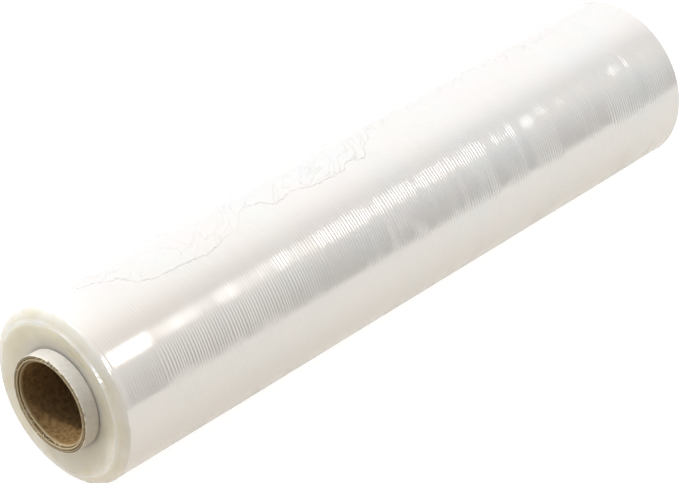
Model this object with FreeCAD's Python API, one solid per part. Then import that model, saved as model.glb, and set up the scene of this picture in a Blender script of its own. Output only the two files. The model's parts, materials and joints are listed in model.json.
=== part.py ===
import FreeCAD, Part
import math
import os

# Stretch wrap hand roll: clear film wound turn on turn on a spiral-wound paper core.
# Millimetres. The roll lies along X with its middle at X = 0, and Z = 0 is the surface it lies on.
# Angles about the roll's axis run from 0 at the top, through 90 at the front (-Y), to 180 at the
# bottom and -90 at the back (+Y).

# Paper core
core_bore_d = 51.0
core_wall = 4.0
core_standout = 5.7
core_inner_chamfer = 1.2
core_outer_chamfer = 0.4
ply_line_count = 1
ply_line_width = 0.35
ply_line_depth = 0.35

# White paper sleeve, the core's outermost ply
sleeve_thickness = 0.5
sleeve_setback = 0.2

# Wound film
film_width = 500.0
film_wall = 24.4
dish_depth = 4.0
dish_curve = 1.5
ridge_drop = 6.6
ridge_flat = 0.5
turn_group_count = 4
turn_step = 0.4

# Rounded shoulder from the end ridge to the barrel, then a bead and a groove
shoulder_length = 5.4
shoulder_bulge = 0.7
shoulder_steps = 2
bead_height = 0.15
bead_width = 1.0
groove_depth = 0.25
groove_width = 1.4

# Gauge bands: thin streaks of film add up turn by turn to shallow grooves round the barrel.
# They come in groups, each centred at a share of the half width from the middle.
band_group_shares = [-0.79, -0.60, -0.38, 0.15]
band_group_grooves = 2
band_pitch = 4.2
band_relief = 0.18

# Loose tail: the last turn lifts over the back quarter and ends in a gathered edge along the top
tail_lift = 0.6
tail_lift_start = -90.0
tail_gather_swing = 0.9
tail_gather_thinning = 0.4
tail_margin = 8.0

# The tail's edge, from the near end to the far one: share of the half width, then angle
tail_edge = [
    (-1.00, -16),
    (-0.90, -12),
    (-0.82, -4),
    (-0.74, 9),
    (-0.52, 10),
    (-0.36, -4),
    (-0.31, 4),
    (-0.12, 9),
    (-0.02, 3),
    (0.08, -6),
    (0.34, -10),
    (0.64, -9),
    (1.00, -12),
]

# Soft film settles on a narrow flat where it lies
flat_spot_width = 12.0

# Everything below follows from the sizes above
core_bore_r = core_bore_d / 2
core_tube_r = core_bore_r + core_wall
core_r = core_tube_r + sleeve_thickness
barrel_r = core_r + film_wall
ridge_r = barrel_r - ridge_drop
half_width = film_width / 2
half_core = half_width + core_standout
barrel_start = shoulder_length + bead_width + groove_width
axis_height = math.sqrt(barrel_r**2 - (flat_spot_width / 2) ** 2)
plain_start = max(angle for share, angle in tail_edge) + tail_gather_swing + tail_margin
cutter_reach = barrel_r
full_turn = 360
along_roll = FreeCAD.Vector(1, 0, 0)


def around(angle, radius, x):
    """Point at an angle and a radius about the roll's axis."""
    turn = math.radians(angle)
    return FreeCAD.Vector(x, -radius * math.sin(turn), radius * math.cos(turn))


def line(start, end):
    """Straight edge between two points."""
    return Part.LineSegment(start, end).toShape()


def arc(start, middle, end):
    """Round edge through three points."""
    return Part.Arc(start, middle, end).toShape()


def revolved(corners):
    """Ring turned about the X axis from a closed outline of (x, radius) corners."""
    points = [FreeCAD.Vector(x, 0, radius) for x, radius in corners]
    outline = Part.makePolygon(points + points[:1])
    return Part.Face(outline).revolve(FreeCAD.Vector(), along_roll, full_turn)


def core_end(side):
    """End face of the core from bore to outside, with a fine line between its plies."""
    x = side * half_core
    corners = [(x - side * core_inner_chamfer, core_bore_r)]
    face_start = core_bore_r + core_inner_chamfer
    face_end = core_tube_r - core_outer_chamfer
    ply_pitch = (face_end - face_start) / (ply_line_count + 1)
    corners.append((x, face_start))
    for number in range(1, ply_line_count + 1):
        middle = face_start + number * ply_pitch
        corners.append((x, middle - ply_line_width / 2))
        corners.append((x - side * ply_line_depth, middle))
        corners.append((x, middle + ply_line_width / 2))
    corners.append((x, face_end))
    corners.append((x - side * core_outer_chamfer, core_tube_r))
    return corners


def core_tube():
    """Brown board tube: a bore for a dispenser's spindle, and eased edges at both ends."""
    return revolved(core_end(-1) + core_end(1)[::-1])


def core_sleeve():
    """Thin white paper wound round the board tube, a little short of its ends."""
    half_sleeve = half_core - sleeve_setback
    return revolved(
        [
            (-half_sleeve, core_tube_r),
            (half_sleeve, core_tube_r),
            (half_sleeve, core_r),
            (-half_sleeve, core_r),
        ]
    )


def end_profile():
    """Insets from the end ridge and radii, up the shoulder and over the bead and groove."""
    rise = barrel_r - ridge_r
    profile = []
    for step in range(shoulder_steps + 1):
        share = step / shoulder_steps
        bulge = 4 * shoulder_bulge * share * (1 - share)
        profile.append((share * shoulder_length, ridge_r + share * rise + bulge))
    bead_middle = shoulder_length + bead_width / 2
    profile.append((bead_middle, barrel_r + bead_height))
    groove_middle = shoulder_length + bead_width + groove_width / 2
    profile.append((groove_middle, barrel_r - groove_depth))
    profile.append((barrel_start, barrel_r))
    return profile


def band_profile():
    """Places along X and radii over the groups of gauge bands, each groove between two crests."""
    profile = []
    for share in band_group_shares:
        start = share * half_width - band_group_grooves * band_pitch / 2
        profile.append((start, barrel_r))
        for number in range(band_group_grooves):
            crest = start + (number + 1) * band_pitch
            relief = band_relief * (1 - number / (2 * band_group_grooves))
            profile.append((crest - band_pitch / 2, barrel_r - relief))
            profile.append((crest, barrel_r))
    return profile


def tail_bends(profile):
    """Places on the plain barrel where the tail's edge bends, clear of the places in a profile."""
    bends = [share * half_width for share, angle in tail_edge]
    return [
        (bend, barrel_r)
        for bend in bends
        if all(abs(bend - x) > band_pitch for x, radius in profile)
    ]


def roll_profile():
    """Places along X and radii of the whole roll, from one end ridge to the other."""
    end = end_profile()
    near = [(-half_width + inset, radius) for inset, radius in end]
    far = [(half_width - inset, radius) for inset, radius in end]
    profile = near + band_profile() + far
    return sorted(profile + tail_bends(profile))


def tail_edge_angle(x):
    """Angle of the tail's edge at a place along the roll."""
    share = max(-1, min(1, x / half_width))
    for (start, angle), (end, next_angle) in zip(tail_edge, tail_edge[1:]):
        if share <= end:
            return angle + (next_angle - angle) * (share - start) / (end - start)


def film_section(number, x, radius):
    """Outline of the wound film: a round turn that climbs over the back to the tail's edge."""
    gather = 1 if number % 2 else -1
    edge = tail_edge_angle(x) + gather * tail_gather_swing
    lift = tail_lift * (1 - tail_gather_thinning * (gather > 0))
    lift_start = full_turn + tail_lift_start
    foot = around(edge, radius, x)
    front = around(plain_start, radius, x)
    back = around(lift_start, radius, x)
    lip = around(edge, radius + lift, x)
    edges = [
        arc(foot, around((edge + plain_start) / 2, radius, x), front),
        arc(front, around((plain_start + lift_start) / 2, radius, x), back),
        arc(back, around((tail_lift_start + edge) / 2, radius + lift / 3, x), lip),
        line(lip, foot),
    ]
    return Part.Wire(edges)


def dished_end(side):
    """What the dished end face leaves out: groups of turns stepping down from ridge to core."""
    outer_r = ridge_r - ridge_flat
    pitch = (outer_r - core_r) / turn_group_count

    def place(radius, step=0.0):
        share = (radius - core_r) / (outer_r - core_r)
        depth = dish_depth * (1 - share**dish_curve)
        return side * (half_width - depth - step), radius

    corners = [(side * (half_width + cutter_reach), core_r), place(core_r)]
    for number in range(1, turn_group_count):
        radius = core_r + number * pitch
        corners.append(place(radius))
        corners.append(place(radius, turn_step))
    corners += [place(outer_r), (side * (half_width + cutter_reach), outer_r)]
    return revolved(corners)


def film_roll():
    """All the turns of the film as one solid, with its hole, end faces and flat spot."""
    sections = [film_section(n, x, radius) for n, (x, radius) in enumerate(roll_profile())]
    wound = Part.makeLoft(sections, True, True)
    cutter_end = half_width + cutter_reach
    hole_start = FreeCAD.Vector(-cutter_end, 0, 0)
    wound = wound.cut(Part.makeCylinder(core_r, 2 * cutter_end, hole_start, along_roll))
    for side in (-1, 1):
        wound = wound.cut(dished_end(side))
    corner = FreeCAD.Vector(-cutter_end, -cutter_reach, -axis_height - cutter_reach)
    floor = Part.makeBox(2 * cutter_end, 2 * cutter_reach, cutter_reach, corner)
    return wound.cut(floor)


def placed(shape):
    """The shape raised so that the roll's flat spot lies at Z = 0."""
    raised = shape.copy()
    raised.translate(FreeCAD.Vector(0, 0, axis_height))
    return raised


nodes = {
    "core_tube": core_tube(),
    "core_outer_ply": core_sleeve(),
    "film_roll": film_roll(),
}

os.makedirs("parts", exist_ok=True)
for name, shape in nodes.items():
    placed(shape).exportStep(f"parts/{name}.step")
    print(name, shape.ShapeType, "valid", shape.isValid(), "volume", round(shape.Volume))
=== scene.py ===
# %% [markdown]
# # A stretch wrap roll
#
# This lesson dresses a roll of clear stretch film on its paper core. The solids of the film, the
# board tube and its white outer ply are loaded first, and every piece made here takes its place
# from them. Each step says what the piece is on the real roll, how it could be made, and why
# this way was chosen. Lengths are written in millimetres and turned to metres where Blender
# needs them.

# %% Load the frame
import json
import math
import random

import bpy
from mathutils import Matrix, Vector

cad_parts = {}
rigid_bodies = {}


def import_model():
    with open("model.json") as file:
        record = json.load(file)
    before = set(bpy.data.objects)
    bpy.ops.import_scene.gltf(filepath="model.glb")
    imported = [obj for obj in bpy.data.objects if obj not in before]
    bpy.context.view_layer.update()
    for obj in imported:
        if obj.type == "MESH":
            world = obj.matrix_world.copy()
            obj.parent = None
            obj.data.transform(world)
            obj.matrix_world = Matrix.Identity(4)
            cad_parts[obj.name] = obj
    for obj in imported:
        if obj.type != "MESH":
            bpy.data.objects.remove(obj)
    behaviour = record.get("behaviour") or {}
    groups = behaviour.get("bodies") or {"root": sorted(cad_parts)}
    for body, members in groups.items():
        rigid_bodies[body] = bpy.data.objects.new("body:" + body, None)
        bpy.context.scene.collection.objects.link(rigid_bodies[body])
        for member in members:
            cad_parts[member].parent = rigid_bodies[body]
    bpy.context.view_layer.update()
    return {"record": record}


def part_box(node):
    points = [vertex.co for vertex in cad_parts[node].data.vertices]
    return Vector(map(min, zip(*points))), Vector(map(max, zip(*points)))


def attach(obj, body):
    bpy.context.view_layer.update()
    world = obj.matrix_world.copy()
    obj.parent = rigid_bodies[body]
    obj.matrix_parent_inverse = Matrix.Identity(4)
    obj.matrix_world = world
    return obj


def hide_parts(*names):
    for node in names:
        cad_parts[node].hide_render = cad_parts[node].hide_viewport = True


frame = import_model()

# %% [markdown]
# ## Sizes
#
# The overall sizes come from the solids and from the stated bore, so the pieces made here fit
# them. What the solids don't state, such as the ribs and the loose tail's folds, is a named
# value where it is first needed.

# %% Sizes from the solids
MM = 0.001


def node_span(node, axis):
    """Lowest and highest place of a node along an axis, in millimetres."""
    low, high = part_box(node)
    return low[axis] / MM, high[axis] / MM


bore = next(mount for mount in frame["record"]["mounts"] if mount["name"] == "core_bore")
axis_height = bore["pos_m"][2] / MM
bore_r = bore["dims"]["r_mm"]
half_width = node_span("film_roll", 0)[1]
half_core = node_span("core_tube", 0)[1]
half_ply = node_span("core_outer_ply", 0)[1]
board_r = node_span("core_tube", 1)[1]
core_r = node_span("core_outer_ply", 1)[1]
print("film half width", round(half_width, 2), "core radius", round(core_r, 2))
print("axis height", round(axis_height, 2), "bore radius", bore_r)

# %% [markdown]
# ## One helper for nodes
#
# Geometry trees and materials are both graphs of nodes. One function adds a node of any kind,
# sets its properties, and gives each input a value or a link. Colours are written as the hex
# codes of a colour picker, and patterns by the size that they have on the roll.

# %% Add a node


def linear(code):
    """Linear colour of an sRGB hex code such as #E0DCD8."""
    parts = [int(code[place:place + 2], 16) / 255 for place in (1, 3, 5)]
    bright = [((p + 0.055) / 1.055) ** 2.4 if p > 0.04045 else p / 12.92 for p in parts]
    return (*bright, 1.0)


def cells(*sizes):
    """Scale at which one cell of a pattern has these sizes in millimetres."""
    return tuple(1 / (size * MM) for size in sizes)


def add_node(tree, kind, inputs=(), steps=(), **settings):
    """One node. Inputs, by name or in order, get a value or a link from a node or its socket.

    Steps are the places and hex codes of a colour ramp.
    """
    node = tree.nodes.new(kind)
    for name, value in settings.items():
        setattr(node, name, value)
    for key, value in inputs.items() if isinstance(inputs, dict) else enumerate(inputs):
        if isinstance(value, bpy.types.Node):
            value = next(socket for socket in value.outputs if socket.enabled)
        if isinstance(value, bpy.types.NodeSocket):
            tree.links.new(value, node.inputs[key])
        else:
            node.inputs[key].default_value = value
    for _ in steps[2:]:
        node.color_ramp.elements.new(0.5)
    for number, (place, code) in enumerate(steps):
        node.color_ramp.elements[number].position = place
        node.color_ramp.elements[number].color = linear(code)
    return node


print("linear grey of #808080", round(linear("#808080")[0], 3))

# %% [markdown]
# ## The rule of a wound wall
#
# Film, board and paper are all wound round the same axis, so all three can share one rule. A
# line of stations gives the outline from end to end: each station holds its place along the
# roll, its radius, the way that relief pushes it, and how much of each relief it takes. The
# tree spins that line round the axis in rows and adds the relief.
#
# A Screw modifier would spin the line too, but it has no tail edge and no relief. Geometry
# Nodes can do both, and the named inputs make one tree serve three pieces.

# %% Tree inputs
WALL_INPUTS = [
    ("Line", "Geometry", None),
    ("Rows", "Int", 120),
    ("Row Gather", "Float", 0.0),
    ("Lip Width", "Float", 0.0),
    ("Axis Height", "Float", axis_height * MM),
    ("Tail Lift", "Float", 0.0),
    ("Wrinkle Slant", "Float", 0.0),
    ("Seam Depth", "Float", 0.0),
    ("Seam Pitch", "Float", 1.0),
    ("Seam Width", "Float", 0.01),
    ("Curl Height", "Float", 0.0),
    ("Curl Middle", "Float", 0.5),
    ("Curl Reach", "Float", 0.1),
    ("Material", "Material", None),
    ("End Start", "Float", 1.0),
    ("End Material", "Material", None),
]
for name in ("Streak", "Wave", "Wrinkle", "Crinkle", "Wear"):
    WALL_INPUTS.append((f"{name} Height", "Float", 0.0))
    WALL_INPUTS.append((f"{name} Scale", "Vector", (1.0, 1.0, 1.0)))


def new_tree(name, inputs):
    """Geometry tree with named inputs: each a label, a kind of socket and a first value."""
    tree = bpy.data.node_groups.new(name, "GeometryNodeTree")
    for label, kind, default in inputs:
        kind = f"NodeSocket{kind}"
        socket = tree.interface.new_socket(name=label, in_out="INPUT", socket_type=kind)
        if default is not None:
            socket.default_value = default
    tree.interface.new_socket(name="Geometry", in_out="OUTPUT", socket_type="NodeSocketGeometry")
    return tree, tree.nodes.new("NodeGroupInput").outputs


wall_tree, given = new_tree("wound_wall", WALL_INPUTS)
print("wound_wall has", len(WALL_INPUTS), "inputs")

# %% [markdown]
# ## Rows round the roll
#
# A grid has one column for each station and one row for each step round the turn, and every
# vertex finds its station and row from its own index. The turn starts and ends at the tail's
# edge, and one row more goes back to the first, which closes the small step under the edge. Row
# Gather eases the rows towards the tail, where the folds need them closest.

# %% Stations and rows
counted = add_node(
    wall_tree, "GeometryNodeAttributeDomainSize", {"Geometry": given["Line"]}, component="MESH"
)
row_count = add_node(wall_tree, "ShaderNodeMath", [given["Rows"], 2.0], operation="ADD")
grid = add_node(
    wall_tree,
    "GeometryNodeMeshGrid",
    {"Vertices X": counted.outputs["Point Count"], "Vertices Y": row_count},
)
index = add_node(wall_tree, "GeometryNodeInputIndex")
place = add_node(wall_tree, "ShaderNodeMath", [index, row_count], operation="DIVIDE")
station = add_node(wall_tree, "ShaderNodeMath", [place], operation="FLOOR")
row = add_node(wall_tree, "ShaderNodeMath", [index, row_count], operation="FLOORED_MODULO")
closed_count = add_node(wall_tree, "ShaderNodeMath", [given["Rows"], 1.0], operation="ADD")
closed_row = add_node(
    wall_tree, "ShaderNodeMath", [row, closed_count], operation="FLOORED_MODULO"
)
even_share = add_node(wall_tree, "ShaderNodeMapRange", [closed_row, 0.0, given["Rows"]])
eased_share = add_node(
    wall_tree,
    "ShaderNodeMapRange",
    [closed_row, 0.0, given["Rows"]],
    interpolation_type="SMOOTHSTEP",
)
share = add_node(
    wall_tree, "ShaderNodeMix", {0: given["Row Gather"], 2: even_share, 3: eased_share}
)
print("rows and stations:", len(wall_tree.nodes), "nodes")

# %% What each station holds


def sampled(attribute, kind):
    """An attribute of the line, read at the vertex's own station."""
    if attribute == "position":
        value = add_node(wall_tree, "GeometryNodeInputPosition")
    else:
        value = add_node(
            wall_tree, "GeometryNodeInputNamedAttribute", {"Name": attribute}, data_type=kind
        )
    inputs = {"Geometry": given["Line"], "Value": value, "Index": station}
    return add_node(wall_tree, "GeometryNodeSampleIndex", inputs, data_type=kind)


spot, push, relief = (
    add_node(wall_tree, "ShaderNodeSeparateXYZ", [sampled(attribute, "FLOAT_VECTOR")]).outputs
    for attribute in ("position", "push", "relief")
)
seam_share, curl_share, tail_angle, gather_share = (
    sampled(attribute, "FLOAT") for attribute in ("seam", "curl", "tail", "gather")
)
print("station values:", len(wall_tree.nodes), "nodes")

# %% Angle of each row
# The tail's edge wanders along the roll. Each row follows it less, the farther it lies from it.
full_turn = add_node(wall_tree, "ShaderNodeMath", [share, 2 * math.pi], operation="MULTIPLY")
near_tail = add_node(wall_tree, "ShaderNodeMath", [full_turn], operation="COSINE")
tail_fade = add_node(wall_tree, "ShaderNodeMapRange", [near_tail, -1.0, 1.0])
rest_of_turn = add_node(wall_tree, "ShaderNodeMath", [1.0, share], operation="SUBTRACT")
past_lip = add_node(
    wall_tree, "ShaderNodeMath", [rest_of_turn, given["Lip Width"]], operation="MULTIPLY"
)
lipped_turn = add_node(wall_tree, "ShaderNodeMath", [full_turn, past_lip], operation="ADD")
angle = add_node(
    wall_tree, "ShaderNodeMath", [tail_angle, tail_fade, lipped_turn], operation="MULTIPLY_ADD"
)
sine = add_node(wall_tree, "ShaderNodeMath", [angle], operation="SINE")
cosine = add_node(wall_tree, "ShaderNodeMath", [angle], operation="COSINE")
towards_front = add_node(wall_tree, "ShaderNodeMath", [sine, -1.0], operation="MULTIPLY")
outward = add_node(wall_tree, "ShaderNodeCombineXYZ", [0.0, towards_front, cosine])
ring = add_node(
    wall_tree, "ShaderNodeVectorMath", {0: outward, "Scale": spot["Z"]}, operation="SCALE"
)
along = add_node(wall_tree, "ShaderNodeCombineXYZ", [spot["X"]])
plain_wall = add_node(wall_tree, "ShaderNodeVectorMath", [ring, along], operation="ADD")
print("plain wall:", len(wall_tree.nodes), "nodes")

# %% [markdown]
# ## Relief of the wall
#
# No wound wall is a true cylinder. Film has fine streaks and broad waves, wrinkles and crinkles
# where its tail lies loose, and the board has a helical seam, worn edges and a ply that curls
# into the bore. A sculpted mesh could hold all that, but a noise with a height and a size for
# each serves every piece, and keeps the forms in real geometry instead of in bump.

# %% Relief by noise


def noise_relief(name, height_share, detail, slant=None):
    """Noise between plus and minus a height, scaled unevenly, and slanted if a slant is given."""
    scaled = add_node(
        wall_tree, "ShaderNodeVectorMath", [plain_wall, given[f"{name} Scale"]],
        operation="MULTIPLY",
    )
    if slant:
        shift = add_node(wall_tree, "ShaderNodeMath", [share, slant], operation="MULTIPLY")
        shift_along = add_node(wall_tree, "ShaderNodeCombineXYZ", [shift])
        scaled = add_node(
            wall_tree, "ShaderNodeVectorMath", [scaled, shift_along], operation="ADD"
        )
    noise = add_node(
        wall_tree, "ShaderNodeTexNoise", {"Vector": scaled, "Scale": 1.0, "Detail": detail}
    )
    centred = add_node(
        wall_tree, "ShaderNodeMapRange", [noise, 0.25, 0.75, -1.0, 1.0], clamp=False
    )
    height = add_node(
        wall_tree, "ShaderNodeMath", [given[f"{name} Height"], height_share],
        operation="MULTIPLY",
    )
    return add_node(wall_tree, "ShaderNodeMath", [centred, height], operation="MULTIPLY")


def near_tail_share(start):
    """Share that rises from 0 at a part of the turn to the gathered amount at the tail's edge."""
    rise = add_node(
        wall_tree, "ShaderNodeMapRange", [share, start, 1.0], interpolation_type="SMOOTHSTEP"
    )
    return add_node(wall_tree, "ShaderNodeMath", [rise, gather_share], operation="MULTIPLY")


reliefs = [
    noise_relief("Streak", relief["X"], 2.0),
    noise_relief("Wave", relief["Y"], 1.0),
    noise_relief("Wrinkle", near_tail_share(0.88), 2.0, given["Wrinkle Slant"]),
    noise_relief("Crinkle", near_tail_share(0.98), 2.0),
    noise_relief("Wear", relief["Z"], 3.0),
]
print("reliefs by noise:", len(reliefs))

# %% Helical seam
seam_place = add_node(
    wall_tree, "ShaderNodeMath", [spot["X"], given["Seam Pitch"]], operation="DIVIDE"
)
seam_phase = add_node(wall_tree, "ShaderNodeMath", [share, seam_place], operation="ADD")
seam_cycle = add_node(wall_tree, "ShaderNodeMath", [seam_phase], operation="FRACT")
seam_gap = add_node(
    wall_tree,
    "ShaderNodeMapRange",
    [seam_cycle, 0.0, given["Seam Width"], -1.0, 0.0],
    interpolation_type="SMOOTHSTEP",
)
seam_height = add_node(
    wall_tree, "ShaderNodeMath", [given["Seam Depth"], seam_share], operation="MULTIPLY"
)
reliefs.append(
    add_node(wall_tree, "ShaderNodeMath", [seam_gap, seam_height], operation="MULTIPLY")
)
print("reliefs with the seam:", len(reliefs))

# %% Tail lift
reliefs.append(
    add_node(
        wall_tree, "ShaderNodeMath", [near_tail_share(0.75), given["Tail Lift"]],
        operation="MULTIPLY",
    )
)
print("reliefs with the tail:", len(reliefs))

# %% Curled ply
from_curl = add_node(
    wall_tree, "ShaderNodeMath", [share, given["Curl Middle"]], operation="SUBTRACT"
)
curl_distance = add_node(wall_tree, "ShaderNodeMath", [from_curl], operation="ABSOLUTE")
curl_rise = add_node(
    wall_tree,
    "ShaderNodeMapRange",
    [curl_distance, 0.0, given["Curl Reach"], -1.0, 0.0],
    interpolation_type="SMOOTHSTEP",
)
curl_height = add_node(
    wall_tree, "ShaderNodeMath", [given["Curl Height"], curl_share], operation="MULTIPLY"
)
curled_in = add_node(wall_tree, "ShaderNodeMath", [curl_rise, curl_height], operation="MULTIPLY")
print("curled ply:", len(wall_tree.nodes), "nodes")

# %% Move the wall
# Relief pushes a vertex the way of its station, and nothing goes below the floor.
total = reliefs[0]
for extra in reliefs[1:]:
    total = add_node(wall_tree, "ShaderNodeMath", [total, extra], operation="ADD")
pushed_out = add_node(
    wall_tree, "ShaderNodeMath", [total, push["Z"], curled_in], operation="MULTIPLY_ADD"
)
pushed_along = add_node(wall_tree, "ShaderNodeMath", [total, push["X"]], operation="MULTIPLY")
out_offset = add_node(
    wall_tree, "ShaderNodeVectorMath", {0: outward, "Scale": pushed_out}, operation="SCALE"
)
along_offset = add_node(wall_tree, "ShaderNodeCombineXYZ", [pushed_along])
offset = add_node(wall_tree, "ShaderNodeVectorMath", [out_offset, along_offset], operation="ADD")
moved = add_node(wall_tree, "ShaderNodeVectorMath", [plain_wall, offset], operation="ADD")
parts = add_node(wall_tree, "ShaderNodeSeparateXYZ", [moved]).outputs
raised = add_node(wall_tree, "ShaderNodeMath", [parts["Z"], given["Axis Height"]], operation="ADD")
on_floor = add_node(wall_tree, "ShaderNodeMath", [raised, 0.0], operation="MAXIMUM")
final_spot = add_node(wall_tree, "ShaderNodeCombineXYZ", [parts["X"], parts["Y"], on_floor])
wall = add_node(
    wall_tree, "GeometryNodeSetPosition", {"Geometry": grid, "Position": final_spot}
)
print("moved wall:", len(wall_tree.nodes), "nodes")

# %% [markdown]
# ## Marks, seams and materials of the wall
#
# The materials need to know where they are on the real roll: how far along it, how far round the
# turn, how far out, how strong the ribs are and how gathered the tail. The tree stores that in
# attributes, which a plain mesh keeps. The doubled vertices of the closing row and of the ends
# are then merged, and all but the step under the tail's edge is shaded smooth.

# %% Marks for the materials
along_and_round = add_node(wall_tree, "ShaderNodeCombineXYZ", [spot["X"], share, spot["Z"]])
row_of_face = add_node(wall_tree, "GeometryNodeFieldOnDomain", {0: row}, domain="POINT")
marked = wall
for name, value, kind, domain in (
    ("wound", along_and_round, "FLOAT_VECTOR", "POINT"),
    ("ribs", relief["X"], "FLOAT", "POINT"),
    ("gathering", near_tail_share(0.90), "FLOAT", "POINT"),
    ("face_row", row_of_face, "FLOAT", "FACE"),
):
    marked = add_node(
        wall_tree,
        "GeometryNodeStoreNamedAttribute",
        {"Geometry": marked, "Name": name, "Value": value},
        data_type=kind,
        domain=domain,
    )
print("marked wall:", len(wall_tree.nodes), "nodes")

# %% Finish the wall
merged = add_node(
    wall_tree, "GeometryNodeMergeByDistance", {"Geometry": marked, "Distance": 0.004 * MM}
)
face_row = add_node(
    wall_tree, "GeometryNodeInputNamedAttribute", {"Name": "face_row"}, data_type="FLOAT"
)
off_lip = add_node(wall_tree, "ShaderNodeMath", [face_row, given["Rows"]], operation="LESS_THAN")
smooth = add_node(
    wall_tree,
    "GeometryNodeSetShadeSmooth",
    {"Geometry": merged, "Selection": off_lip},
    domain="FACE",
)
real = add_node(wall_tree, "GeometryNodeRealizeInstances", {"Geometry": smooth})
dressed = add_node(
    wall_tree, "GeometryNodeSetMaterial", {"Geometry": real, "Material": given["Material"]}
)
here = add_node(wall_tree, "GeometryNodeInputPosition")
here_along = add_node(wall_tree, "ShaderNodeSeparateXYZ", [here]).outputs["X"]
off_middle = add_node(wall_tree, "ShaderNodeMath", [here_along], operation="ABSOLUTE")
past_start = add_node(
    wall_tree, "ShaderNodeMath", [off_middle, given["End Start"]], operation="GREATER_THAN"
)
ends_dressed = add_node(
    wall_tree,
    "GeometryNodeSetMaterial",
    {"Geometry": dressed, "Selection": past_start, "Material": given["End Material"]},
)
add_node(wall_tree, "NodeGroupOutput", [ends_dressed])
print("wound_wall has", len(wall_tree.nodes), "nodes")

# %% [markdown]
# ## From stations to a plain mesh
#
# The stations become the vertices of a line, and their other values become its attributes. The
# tree then runs as a modifier, and the evaluated result is copied to a plain mesh, so nothing
# live is left on the piece.

# %% Grow a wall


def station_at(x, radius, push=(0, 1), ribs=0, wave=0, wear=0, **shares):
    """One station: place in mm, way that relief pushes it (along, out), share of each relief."""
    return {
        "spot": (x * MM, 0.0, radius * MM),
        "push": (push[0], 0.0, push[1]),
        "relief": (ribs, wave, wear),
        "seam": shares.get("seam", 0),
        "curl": shares.get("curl", 0),
        "tail": math.radians(shares.get("tail", 0)),
        "gather": shares.get("gather", 0),
    }


def add_object(name, data):
    """New object with its data, linked to the scene."""
    made = bpy.data.objects.new(name, data)
    bpy.context.scene.collection.objects.link(made)
    return made


def plain_result(source, tree, values, name):
    """The tree's result on an object as a new plain mesh object; the source is removed."""
    modifier = source.modifiers.new(tree.name, "NODES")
    modifier.node_group = tree
    for item in tree.interface.items_tree:
        if item.in_out == "INPUT" and item.name in values:
            modifier[item.identifier] = values[item.name]
    depsgraph = bpy.context.evaluated_depsgraph_get()
    mesh = bpy.data.meshes.new_from_object(source.evaluated_get(depsgraph))
    bpy.data.objects.remove(source)
    mesh.name = name
    return add_object(name, mesh)


def grow_wall(name, stations, values):
    """A wound piece as a plain mesh, from its stations and the tree's inputs."""
    count = len(stations)
    line = bpy.data.meshes.new(f"{name}_line")
    line.from_pydata([s["spot"] for s in stations], [(n, n + 1) for n in range(count - 1)], [])
    for attribute in ("push", "relief"):
        layer = line.attributes.new(attribute, "FLOAT_VECTOR", "POINT")
        layer.data.foreach_set("vector", [part for s in stations for part in s[attribute]])
    for attribute in ("seam", "curl", "tail", "gather"):
        layer = line.attributes.new(attribute, "FLOAT", "POINT")
        layer.data.foreach_set("value", [s[attribute] for s in stations])
    piece = plain_result(add_object(f"{name}_line", line), wall_tree, values, name)
    print(name, len(piece.data.vertices), "vertices", len(piece.data.polygons), "faces")
    return piece


# %% [markdown]
# ## Film material
#
# Stretch film is cast linear low-density polyethylene, clear and soft. One turn is nearly
# invisible, but hundreds of turns each throw back a little light, like a pile of glass plates,
# so the roll looks milky white under a strong mirror gloss. Real clear layers would be slow to
# render and hard to make look white. Here one wall has the milky colour, and an IOR of 3.9
# instead of a single sheet's 1.5 gives it the mirror of the whole pile, about a third of the
# light. The front of the near half has painted warm light: its colour is mixed a little warmer
# than the rest.

# %% Shared parts of materials


def new_material(name):
    """Empty node material, ready for nodes."""
    material = bpy.data.materials.new(name)
    material.use_nodes = True
    material.node_tree.nodes.clear()
    return material, material.node_tree


def wound_parts(tree):
    """Outputs X (place along), Y (share of the turn) and Z (radius) that the wall stored."""
    wound = add_node(tree, "ShaderNodeAttribute", attribute_name="wound")
    return add_node(tree, "ShaderNodeSeparateXYZ", [wound.outputs["Vector"]]).outputs


def towards_ends(tree, start, end):
    """Share that rises from 0 to 1 between two distances from the roll's middle, in mm."""
    off_middle = add_node(tree, "ShaderNodeMath", [wound_parts(tree)["X"]], operation="ABSOLUTE")
    return add_node(tree, "ShaderNodeMapRange", [off_middle, start * MM, end * MM])


# %% Film colour
# Cast polyethylene film: its smooth, clear turns look like one milky white body under a gloss.
side_material, side_tree = new_material("cast_polyethylene_film")
side_spot = add_node(side_tree, "ShaderNodeTexCoord").outputs["Object"]
patches = add_node(
    side_tree, "ShaderNodeTexNoise", {"Vector": side_spot, "Scale": cells(38)[0], "Detail": 2.0}
)
body_shade = add_node(
    side_tree,
    "ShaderNodeValToRGB",
    [patches],
    [(0.36, "#EDEEEC"), (0.46, "#F0EEEB"), (0.54, "#F1EDE9"), (0.64, "#F1ECEA")],
)
# Painted warm light: the front of the near half is mixed towards a warmer ivory.
near_end = add_node(
    side_tree, "ShaderNodeMapRange", [wound_parts(side_tree)["X"], -0.25, 0.05, 1.0, 0.0]
)
across = add_node(side_tree, "ShaderNodeSeparateXYZ", [side_spot]).outputs["Y"]
in_front = add_node(side_tree, "ShaderNodeMapRange", [across, -0.024, 0.008, 1.0, 0.0])
painted_warm_light = add_node(side_tree, "ShaderNodeMath", [near_end, in_front], operation="MULTIPLY")
film_colour = add_node(
    side_tree,
    "ShaderNodeMix",
    {0: painted_warm_light, 6: body_shade, 7: linear("#EEE5DA")},
    data_type="RGBA",
)
print("film colour:", len(side_tree.nodes), "nodes")
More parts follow.
